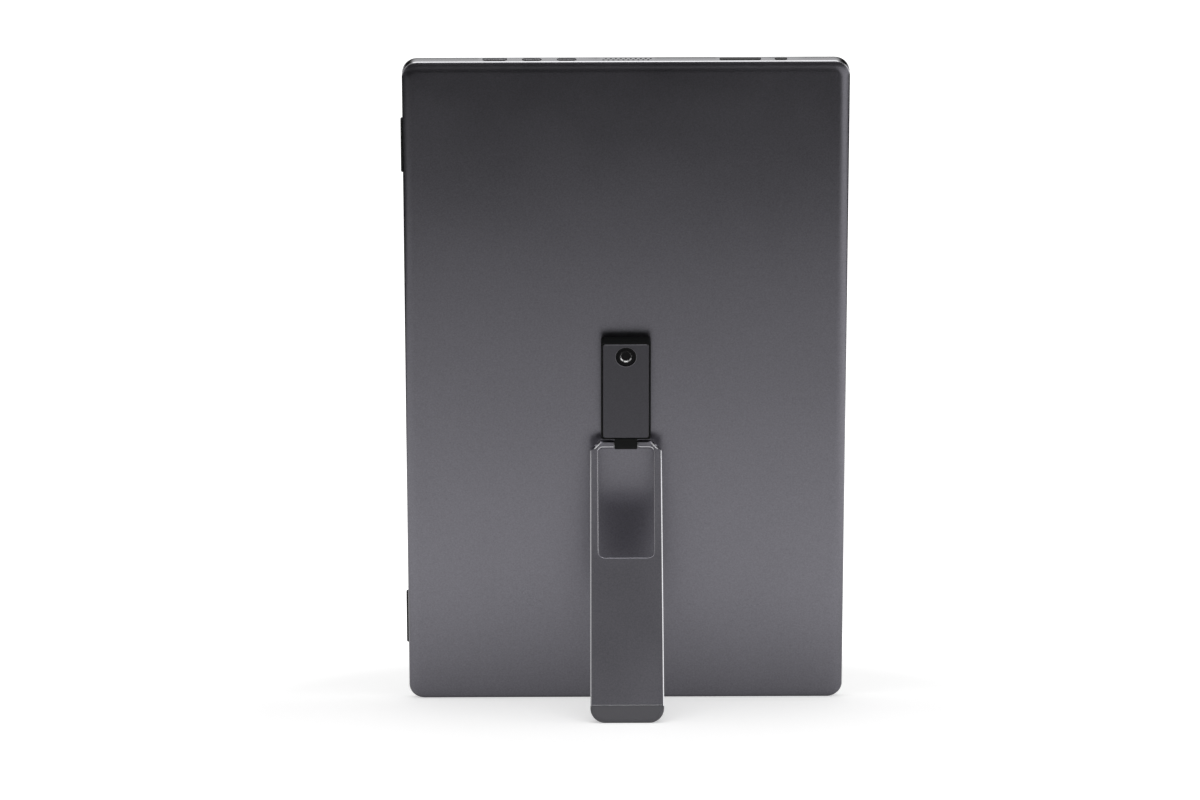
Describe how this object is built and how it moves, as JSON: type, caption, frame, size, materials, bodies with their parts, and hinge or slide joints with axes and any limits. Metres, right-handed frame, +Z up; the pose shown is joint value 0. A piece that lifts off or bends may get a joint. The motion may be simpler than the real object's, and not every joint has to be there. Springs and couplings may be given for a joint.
{
  "type": "portable monitor",
  "caption": "Slim portable monitor that stands in portrait on a fold-out kickstand, which swivels on the middle of its back and has a camera-stand socket.",
  "frame": {"origin": "middle of the footprint's bounding box, on the ground that it stands on", "axes": "+Z up, +X to the right as seen from behind, +Y from the back towards the screen"},
  "size_m": [0.226, 0.12, 0.3394],
  "materials": {
    "shell_metal": "fine blasted, dark grey anodised",
    "stand_metal": "dark grey anodised with bright bevels",
    "black_plastic": "satin black",
    "cover_glass": "clear, black border",
    "display_sheet": "dark, switched off",
    "thin_metal": "plain sheet",
    "board": "circuit board",
    "flat_cable": "film",
    "socket_steel": "pressed sheet",
    "steel": "dark plated",
    "mesh_cloth": "fine black cloth",
    "rubber": "matt",
    "grey_rubber": "matt, grey like the leg"
  },
  "bodies": {
    "display": {"rear_shell": "shell_metal", "front_frame": "black_plastic", "button_bracket": "black_plastic", "speaker_module": "black_plastic", "tact_switches": "black_plastic", "cover_glass": "cover_glass", "lcd_cell": "display_sheet", "diffuser_stack": "display_sheet", "light_guide": "display_sheet", "reflector_sheet": "display_sheet", "panel_tray": "thin_metal", "shield_can": "thin_metal", "main_board": "board", "panel_driver_board": "board", "button_board": "board", "led_bar": "board", "display_flex": "flat_cable", "video_socket": "socket_steel", "data_socket_a": "socket_steel", "data_socket_b": "socket_steel", "housing_screws": "steel", "rocker_pin": "steel", "swivel_plate": "steel", "speaker_mesh": "mesh_cloth", "edge_foot_lower": "rubber", "edge_foot_upper": "rubber"},
    "stand_head": {"stand_block": "black_plastic", "block_face_plate": "stand_metal", "tripod_bush": "steel", "swivel_hub": "steel", "friction_washer": "steel", "swivel_retainer": "steel", "retainer_screws": "steel", "hinge_washers": "steel"},
    "leg": {"leg_frame": "stand_metal", "leg_foot_pad": "grey_rubber", "hinge_pin": "steel"},
    "rocker": {"menu_rocker": "black_plastic"},
    "power_key": {"power_button": "black_plastic"}
  },
  "joints": [
    {"name": "stand_swivel", "type": "hinge", "parent": "display", "child": "stand_head", "pos_m": [0.0005, -0.00533, 0.16926], "axis": [0, 0.9486, 0.3165], "range_deg": [0, 90]},
    {"name": "leg_fold", "type": "hinge", "parent": "stand_head", "child": "leg", "pos_m": [0.0005, -0.0009, 0.13827], "axis": [-1, 0, 0], "range_deg": [-34.85, 145.15]},
    {"name": "rocker_tilt", "type": "hinge", "parent": "display", "child": "rocker", "pos_m": [0.0579, -0.0556, 0.33381], "axis": [0, 0.9486, 0.3165], "range_deg": [-2, 2], "stiffness_Nm_per_rad": 0.3},
    {"name": "power_press", "type": "slide", "parent": "display", "child": "power_key", "axis": [0, 0.3165, -0.9486], "range_m": [0, 0.0005], "stiffness_N_per_m": 2000}
  ]
}
